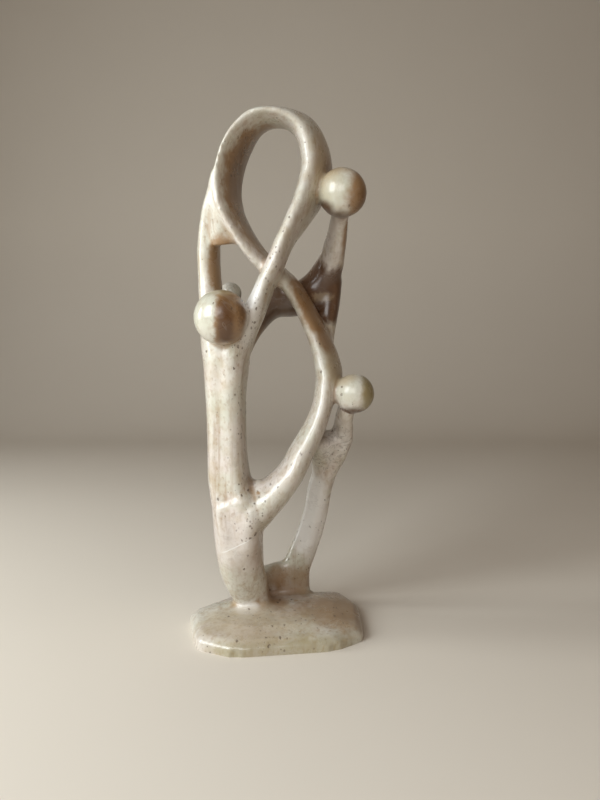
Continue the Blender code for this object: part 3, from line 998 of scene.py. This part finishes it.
@dataclass(frozen=True)
class Studio:
    """A pale sweep, soft daylight from three panels on the left, and the camera.

    Places are given as the camera sees them: to its right, ahead of it and up, from the point
    under the middle of the plinth.
    """

    yaw: float = math.radians(8.2)
    pitch: float = math.radians(4.7)
    camera_aside: float = 0.015
    camera_distance: float = 0.387
    camera_height: float = 0.167
    sensor_width: float = 36.0
    focal_share: float = 671 / 800
    nearest: float = 0.01
    paper: FloorFinish = field(default_factory=FloorFinish)
    panels: tuple[Panel, ...] = (
        Panel("window", (-0.66, -0.55, 0.50), (0.50, 0.56), 8.5, (0.91, 0.97, 1.0)),
        Panel("doorway", (-0.12, -0.86, 0.46), (0.50, 0.50), 3.2, (0.97, 0.98, 0.98)),
        Panel("pane", (-0.76, -0.02, 0.32), (0.18, 0.36), 2.6, (0.97, 1.0, 1.0)),
        Panel("room_glow", (0.75, -0.45, 0.30), (0.7, 0.6), 0.35, (1.0, 0.55, 0.27)),
    )

    def place(self, right: float, ahead: float, up: float) -> Vector:
        """A place or a direction given as the camera sees it, in the part's frame."""
        sine, cosine = math.sin(self.yaw), math.cos(self.yaw)
        return Vector((right * cosine + ahead * sine, ahead * cosine - right * sine, up))

    @staticmethod
    def aim(thing: bpy.types.Object, way: Vector) -> None:
        """Turns a camera or a light to face that way, upright."""
        thing.rotation_mode = "QUATERNION"
        thing.rotation_quaternion = way.to_track_quat("-Z", "Y")

    def add_camera(self) -> None:
        """Sets the camera at the photograph's viewing angle."""
        lens = bpy.data.cameras.new("camera")
        lens.sensor_fit = "AUTO"
        lens.sensor_width = self.sensor_width
        lens.lens = self.sensor_width * self.focal_share
        lens.clip_start = self.nearest
        camera = placed("camera", lens)
        camera.location = self.place(self.camera_aside, -self.camera_distance, self.camera_height)
        self.aim(camera, self.place(0, math.cos(self.pitch), -math.sin(self.pitch)))
        bpy.context.scene.camera = camera
        LOG.info("camera: %.1f mm lens", lens.lens)

    def add_panel(self, panel: Panel) -> None:
        """Hangs one panel of light."""
        light = bpy.data.lights.new(panel.name, "AREA")
        light.shape = "RECTANGLE"
        light.size, light.size_y = panel.size
        light.energy = panel.watts
        light.color = panel.colour
        lamp = placed(panel.name, light)
        lamp.location = self.place(*panel.where)
        self.aim(lamp, Vector((0, 0, FIGURE_HEIGHT / 2)) - lamp.location)
        lamp.visible_camera = False
        LOG.info("light %s: %.1f W", panel.name, panel.watts)

    def add_sweep(self, half_width: float = 2.2, near: float = -1.6, far: float = 0.75,
                  radius: float = 0.45, top: float = 1.9, steps: int = 14) -> None:
        """Lays the pale floor, which curves up behind the figure.

        Args:
            half_width: How far it reaches to each side.
            near: Where it begins, ahead of the plinth.
            far: Where it starts to curve up.
            radius: The curve's radius.
            top: How high the wall reaches.
            steps: How many strips the curve has.
        """
        curve = [math.pi / 2 * step / steps for step in range(steps + 1)]
        profile = [(near, 0.0), *((far + radius * math.sin(angle), radius * (1 - math.cos(angle)))
                                  for angle in curve), (far + radius, top)]
        sheet = bmesh.new()
        rows = [[sheet.verts.new(self.place(side * half_width, ahead, up)) for side in (-1, 1)]
                for ahead, up in profile]
        for lower, upper in zip(rows, rows[1:]):
            sheet.faces.new((lower[0], lower[1], upper[1], upper[0]))
        mesh = bpy.data.meshes.new("floor")
        sheet.to_mesh(mesh)
        sheet.free()
        mesh.shade_smooth()
        mesh.materials.append(self.paper.material())
        floor = placed("floor", mesh)

    def add_air(self, colour: Colour = (0.50, 0.35, 0.23, 1), strength: float = 0.18) -> None:
        """The dim light that comes from everywhere."""
        world = bpy.data.worlds.new("room")
        world.use_nodes = True
        room = world.node_tree.nodes["Background"]
        room.inputs["Color"].default_value = colour
        room.inputs["Strength"].default_value = strength
        bpy.context.scene.world = world

    def build(self) -> None:
        """Sets up everything round the figure."""
        self.add_sweep()
        self.add_air()
        for panel in self.panels:
            self.add_panel(panel)
        bpy.context.scene.view_settings.view_transform = "Standard"
        self.add_camera()


LIMBS = (
    Limb("trunk", 2.5, (
        (-3.9, -2.5, 1.6, 8.6, 4.6), (-4.2, 1, 2, 8, 3.7), (-5.1, 4, 0.4, 8.2, 4.2),
        (-6.4, 8, -2.2, 8.4, 4.5), (-7.3, 13.2, -5.2, 8.8, 4.8, 0.05),
        (-7.8, 18, -7.2, 9, 4.9, 0.06), (-8.6, 23, -7.8, 8.6, 4.6, 0.08),
        (-9.9, 28, -7.2, 8.2, 4.1, 0.12), (-10.3, 34, -7, 8, 3.8, 0.13),
        (-10.4, 40, -7.2, 8, 3.8, 0.13), (-10.5, 46, -7.6, 8.2, 4, 0.13),
        (-10.4, 51, -8, 8.6, 4.5, 0.13), (-10.6, 55.5, -7.6, 8.4, 4.7, 0.13),
        (-11.2, 58.5, -5.6, 7, 3.8, 0.13),
    )),
    Limb("left_arm", 2.2, (
        (-11.6, 50, -4, 5.5, 3, 0.18), (-12.6, 56.5, -3.4, 5.8, 2.6, 0.2),
        (-13.1, 62, -2.6, 5.5, 2.3, 0.25), (-13.3, 66, -2.4, 5.2, 2.2, 0.25),
        (-13.5, 70, -2.6, 5, 2.1, 0.25), (-13.5, 74.5, -3.4, 4.8, 2, 0.25),
        (-13.1, 79, -5.2, 4.4, 1.6, 0.25), (-12.4, 83, -7.6, 3.4, 1.1, 0.3),
        (-12, 86.5, -9.2, 2.4, 0.6, 0.35),
    )),
    Limb("left_web", 2.2, (
        (-12, 82, -8.2, -1, 0.7, 0.3), (-11.6, 79, -7.4, -0.5, 1.4, 0.3),
        (-10.9, 76.2, -6.4, 0, 2.1, 0.3), (-10.3, 73.2, -5.2, 0, 2.7, 0.3),
    )),
    Limb("figure_eight", 2, (
        (-10.6, 38, -6.6, 5, 3.4, 0.13), (-10.4, 44, -7.6, 5, 3.7, 0.13),
        (-9.6, 49.5, -8.4, 4, 3.5, 0.13), (-8.6, 53, -9, 3, 3.1, 0.13),
        (-7.2, 56.3, -9.4, 2.4, 2.7, 0.14), (-5.6, 59.3, -9.8, 2, 2.3, 0.15),
        (-4.2, 62.4, -10.7, 1, 2, 0.15), (-2.8, 65.8, -11.5, -0.4, 1.8, 0.15),
        (-1.4, 69, -12.3, -1.6, 1.8, 0.18), (0, 72.8, -12.1, -1.6, 1.7, 0.22),
        (1.5, 76.4, -11.7, -0.4, 1.8, 0.28), (2.9, 80, -11, 1.4, 2.1, 0.36),
        (4.2, 83.8, -10.3, 3.2, 2.4, 0.42, 0.02), (4.9, 87.4, -10, 4.2, 2.5, 0.45, 0.06),
        (4.6, 91, -9.8, 4.4, 2.4, 0.42, 0.12), (3.3, 93.8, -9.7, 4.6, 2.3, 0.36, 0.18),
        (0.8, 95.3, -9.7, 4.6, 1.9, 0.33, 0.2), (-2.5, 95.6, -9.7, 4.6, 1.6, 0.32, 0.18),
        (-5.8, 94.7, -9.7, 4.6, 1.4, 0.34, 0.13), (-8.6, 92.5, -9.7, 4.6, 1.2, 0.38, 0.06),
        (-10.6, 89.5, -9.7, 4.6, 1.1, 0.4), (-11.7, 86, -9.7, 4.6, 1.1, 0.42),
        (-11.9, 82.8, -9.7, 4.8, 1.1, 0.42), (-11.1, 79.5, -9.3, 5.2, 1.2, 0.42),
        (-9.2, 76.1, -8.6, 5.8, 1.3, 0.4), (-6.8, 72.9, -7.6, 6.4, 1.5, 0.38),
        (-4.1, 70.2, -6.2, 6.4, 1.7, 0.36), (-1.1, 68, -5, 5.8, 1.8, 0.38),
        (1.7, 65.4, -4.6, 5, 1.8, 0.42), (3.7, 62.1, -4.5, 4.6, 1.7, 0.46),
        (5.2, 59, -4.7, 4.6, 1.8, 0.48), (6.7, 55.4, -5.1, 4.6, 1.9, 0.5),
        (7.8, 51.8, -5.8, 4.6, 2.2, 0.5), (8.5, 48.2, -6.6, 4.2, 2.5, 0.44),
        (8.6, 45.2, -7.3, 3, 2.3, 0.3), (8.3, 42.6, -7.8, 2.2, 2.1, 0.22),
        (7.4, 39.6, -8.3, 1.8, 2.1, 0.18), (6, 36.4, -8.8, 1.6, 2.3, 0.15),
        (4.2, 33.2, -9.1, 1.6, 2.5, 0.14), (2.5, 29.6, -9.2, 2, 2.7, 0.12),
        (-0.2, 26.1, -9, 2.6, 3.2, 0.1), (-3.4, 22.8, -8.6, 3.6, 3.7, 0.1),
        (-6.4, 19.6, -7.6, 5, 4.1, 0.1), (-8, 16, -5.4, 6, 3.8, 0.1),
    )),
    Limb("fork_web", 2.2, (
        (-4.4, 22.8, -7.4, 2.2, 2.6, 0.1), (-3.9, 25.2, -6.4, 1.8, 2, 0.1),
        (-3.6, 27.4, -4.8, 1.4, 1.1, 0.1),
    )),
    Limb("back_strand", 2.2, (
        (-8.4, 45, 1, 8, 2), (-6.9, 51.5, 2, 9.4, 2.2), (-3.6, 58.2, 3, 10.8, 2.5),
        (0.5, 62.9, 3.4, 11.8, 3.3), (5, 63.5, 3.4, 12.2, 3.5), (9.2, 65.3, 3.6, 12.2, 3.7),
        (12, 69.7, 2.4, 10.2, 3), (12.8, 74.3, -0.8, 6.2, 2.1), (12.8, 78.2, -4.2, 1.6, 1.6),
        (12.2, 81.1, -8, -3.2, 1.5),
    )),
    Limb("back_web", 2.2, (
        (12.6, 68, 4.2, 10.4, 2.6), (12, 63, 3.4, 10.6, 2.6), (11.4, 58, 2.6, 9, 2.2),
        (10.9, 53, 1.4, 6.4, 1.6),
    )),
    Limb("infant_neck", 2.2, (
        (-7.6, 52, 4, 9.2, 2.6), (-8, 57.5, 5, 10, 2.2), (-8.2, 63.4, 7.2, 10.6, 1.3),
    )),
    Limb("child", 2.4, (
        (5, -2.5, 8.6, 12.6, 4.4), (5.1, 1, 8.8, 12.4, 3.9), (5.9, 5.2, 8.6, 12.4, 3.2),
        (7.6, 9.7, 8.2, 12.2, 2.9), (9.2, 14.2, 7.8, 12, 2.7), (10.2, 18.6, 7.2, 11.6, 2.6),
        (10.8, 23, 6.4, 11.2, 2.6), (11.9, 27.4, 4.8, 10.4, 2.5), (13.7, 31.7, 3, 8.8, 2.6),
        (14.6, 35.8, 0.2, 6, 2.1), (14.2, 39.2, -3.2, 2.4, 1.6), (14, 42.7, -6.6, -2.4, 1.5),
    )),
    Limb("child_shoulder", 2.6, (
        (10.6, 26.4, 5, 9.6, 1.6), (10.7, 30, 3.4, 8.6, 2.3), (10.4, 32.8, 1.2, 6.6, 2.6),
        (10.4, 35.4, -0.6, 4.6, 2.1),
    )),
    Limb("child_heel", 3.2, (
        (6.4, 5.4, 8.6, 12.2, 2.6), (3, 3.9, 8.6, 12, 2.9), (-0.4, 3.2, 8, 11.4, 3),
        (-2.6, 2.6, 7.4, 10.4, 2.4),
    )),
)

HEADS = (
    Head("parent", (-10.2, -6.2, 57), (-0.4, -3.7, 2.1), 0.85, 0.0290, (0.3, 0.6, -0.7), 0.96),
    Head("partner", (12.5, -5.8, 79.5), (-0.1, -0.35, 1), 0.70, 0.0266, (-0.6, 0.6, -0.5), 0.88),
    Head("child", (14.5, -4, 41.8), (0.25, -0.35, 1), 0.80, 0.0226, (-0.6, 0.6, -0.5), 0.88),
    Head("infant", (-8.2, 8.8, 62.9), (0.05, 0.1, 1), 0.80, 0.0136, (0.3, -0.7, -0.6), 0.94),
)
PARENT, PARTNER, CHILD = HEADS[:3]

# Patina of the stone, mixed with painted shade, painted shadow and painted highlights laid into its
# colour; the comments below mark which is which.
PATINA_PAINTED_SHADE_AND_LIGHT = (
    Blot(Tone.SAGE, (-13.8, -12, 60.5), (10, 40, 15), 0.5, head=PARENT),
    Blot(Tone.TAN, (-6.9, -12, 57.6), (16, 50, 33), 0.95, 0.16, 0.4, head=PARENT),
    Blot(Tone.UMBER, (-10, -14, 57.4), (7, 50, 22), 0.9, 0.65, 0.6, head=PARENT),
    Blot(Tone.UMBER, (-7, -12, 60.4), (4.5, 40, 14), 0.45, 0.8, 2.2, 1.4, PARENT),
    Blot(Tone.OLIVE, (-11.4, -11.5, 65), (15, 30, 8.5), 0.6, head=PARENT),
    # Painted shade under the parent's head.
    Blot(Tone.TAN, (-9.8, -10.5, 52.6), (16, 40, 7.5), 0.8, head=PARENT),
    Blot(Tone.SAGE, (9.4, -10, 82.6), (13, 40, 15), 0.6, head=PARTNER),
    # Darker right side of the partner's head: partly a stain of the stone, partly painted shade.
    Blot(Tone.TAN, (17.2, -8.4, 81.6), (16.5, 50, 24), 0.92, 0.4, 0.6, head=PARTNER),
    Blot(Tone.UMBER, (16.6, -8.4, 80.4), (9, 50, 12), 0.45, 0.6, 0.9, head=PARTNER),
    # Painted shadow crescent at the lower left and along the underside of the partner's head.
    Blot(Tone.UMBER, (7.8, -7, 78.4), (8.8, 40, 8.2), 0.94, 0.4, 0.3, head=PARTNER),
    Blot(Tone.UMBER, (11.4, -8, 76.7), (14, 40, 7.6), 0.8, 0.5, 0.3, head=PARTNER),
    Blot(Tone.SAGE, (13, -7, 46), (11, 40, 12), 0.5, head=CHILD),
    # Olive right side of the child's head: partly a stain of the stone, partly painted shade.
    Blot(Tone.OLIVE, (19.3, -6.6, 44.8), (12.5, 50, 17), 0.92, 0.36, 0.5, head=CHILD),
    # Painted shadow crescent under the child's head.
    Blot(Tone.UMBER, (14.6, -5.4, 39.6), (15, 50, 9), 0.92, 0.4, 0.3, head=CHILD),
    # Tan face of the returning limb, fading to honey below: partly the stone's colour, partly painted
    # shadow of the strand and the parent's head.
    Blot(Tone.TAN, (7, -4, 65.2), (14, 20, 15), 0.92, 0.3),
    Blot(Tone.TAN, (8.8, -4, 60.2), (14, 20, 13), 0.9, 0.3),
    Blot(Tone.TAN, (11.2, -4, 55.8), (12, 20, 13), 0.8, 0.35),
    Blot(Tone.HONEY, (12.6, -4.5, 50), (12, 20, 15), 0.7, 0.45),
    # Tan right face of the left arm: partly the stone's colour, partly painted shade.
    Blot(Tone.TAN, (-10.2, -1.5, 69.4), (9.2, 26, 20), 0.92, 0.3),
    # Painted shade on the inner face of the upper loop, tan deepening to umber.
    Blot(Tone.TAN, (-5, 0, 84), (32, 29, 48), 0.94, 0.28, inside=True),
    Blot(Tone.UMBER, (-4.5, 1, 84), (28, 28, 42), 0.6, 0.5, inside=True),
    # Honey and tan on the loop's right band: partly the stone's colour, partly painted shade.
    Blot(Tone.HONEY, (9.6, -4, 88), (14, 30, 28), 0.8, 0.5),
    Blot(Tone.TAN, (11.6, -3, 85), (14, 24, 26), 0.8, 0.6),
    # Painted shade on the back body, the piece behind the crossing and the back strand, where the
    # strands in front shade them.
    Blot(Tone.UMBER, (11, 8, 64.5), (26, 25, 27), 0.95, 0.25),
    Blot(Tone.UMBER, (2.6, 8, 60.6), (32, 26, 26), 0.92, 0.3),
    Blot(Tone.TAN, (-4.6, 6.5, 56.5), (12, 17, 15), 0.75, 0.5),
    Blot(Tone.ROSE, (11, -1, 76.4), (5, 20, 12), 0.6, 0.5),
    Blot(Tone.TAN, (14.6, -1, 76), (5.5, 20, 17), 0.85, 0.5),
    # Painted light on a facet of the back body, lighter within its painted shade.
    Blot(Tone.HONEY, (10.4, 3.4, 63.9), (8.5, 6, 4), 0.42, 0.6, 1.2, 2),
    # Painted light on the strand beside the parent's head, where the head's shadow falls.
    Blot(Tone.PALE, (-5, -9.5, 59), (8, 14, 30), 0.85, 0.5),
    Blot(Tone.ROSE, (-6, -6, 14), (24, 30, 30), 0.5, 0.7),
    Blot(Tone.TAN, (-2.4, -5, 15), (10, 30, 26), 0.38, 0.8),
    Blot(Tone.OLIVE, (0, -12.6, -2.6), (80, 14, 8.5), 0.62, 0.6),
    # Painted highlight along the fillet at the trunk's foot.
    Blot(Tone.PALE, (-5.6, 0.6, 0.4), (10.5, 9, 4.2), 0.95, 0.5),
    Blot(Tone.HONEY, (-4, -5, -0.3), (48, 33, 8), 0.6, 0.6),
    Blot(Tone.TAN, (13.6, -1, -0.5), (38, 40, 12), 0.85, 0.75, 0.6),
    # Painted shadow of the trunk on the child's heel, in tan.
    Blot(Tone.TAN, (1.4, 4, 4), (11, 20, 18), 0.75, 0.4),
    Blot(Tone.TAN, (5.5, 9.5, 3), (17, 13, 12), 0.6, 0.5),
    Blot(Tone.TAN, (-1, 1, 16), (10, 28, 26), 0.55, 0.6),
    # Painted light on the child's leg, which the trunk shades from the lamps.
    Blot(Tone.PALE, (8.2, 7.5, 18), (15, 24, 36), 0.9, 0.4),
    # Painted light on the child's neck and shoulder, which lie in shade.
    Blot(Tone.PALE, (13, 1, 33.5), (13, 16, 16), 0.55, 0.5),
)


def speck(x: float, y: float, z: float, wide: float, tall: float, strength: float,
          tone: Tone = Tone.FLECK, deep: float = 3.0) -> Blot:
    """One mineral speck, of a width, a height and a depth in millimetres."""
    return Blot(tone, (x, y, z), (wide, deep, tall), strength, 0.5, 0.9, 1.2)


SPOTS = (
    speck(-5.7, -7.8, 22, 1, 1.4, 0.85),
    speck(-5.5, -8, 21, 1.1, 1.1, 0.85),
    speck(-5.2, -7.8, 19.6, 0.9, 0.9, 0.80),
    speck(-7.5, -6.6, 27.8, 0.8, 0.9, 0.80),
    speck(-5.7, -5.9, 26.4, 0.9, 0.8, 0.80),
    speck(-3.8, -6.6, 25.9, 1.4, 1.2, 0.75, Tone.TAN),
    speck(-4.6, -8.2, 24.2, 0.8, 0.7, 0.75),
    speck(-5.5, -7.4, 17.4, 0.8, 1, 0.75),
    speck(12.3, -7, 46.1, 0.7, 0.7, 0.80, deep=2.0),
    speck(-2.6, -11, 66, 0.8, 0.9, 0.70),
)

SWARMS = (
    (-5.6, -7.6, 20, 13, 0.55),
    (-3.8, -8, 24.6, 10, 0.35),
    (-6.2, -5, 28, 12, 0.40),
    (-2.2, -8.8, -0.3, 18, 0.55),
    (8, -8, -0.3, 20, 0.30),
    (0.8, -9, 75, 12, 0.35),
    (-5.6, -8.5, 54, 16, 0.65),
    (-3.6, -10.5, 62, 16, 0.65),
    (-1.8, -11, 68, 12, 0.45),
    (-6, -5, 44, 18, 0.60),
    (-6.2, -5, 36, 16, 0.55),
    (12.5, 3.5, 30.5, 14, 0.35),
    (5, 8.5, 7, 12, 0.25),
)


def main() -> None:
    """Carves the figurine over the solid and lights it."""
    logging.basicConfig(level=logging.INFO, format="%(message)s")
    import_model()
    group = Figurine(LIMBS, HEADS).build(SoapstoneFinish(PATINA_PAINTED_SHADE_AND_LIGHT, SPOTS, SWARMS))
    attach(group, "root")
    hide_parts("figurine")
    Studio().build()


if __name__ == "__main__":
    main()
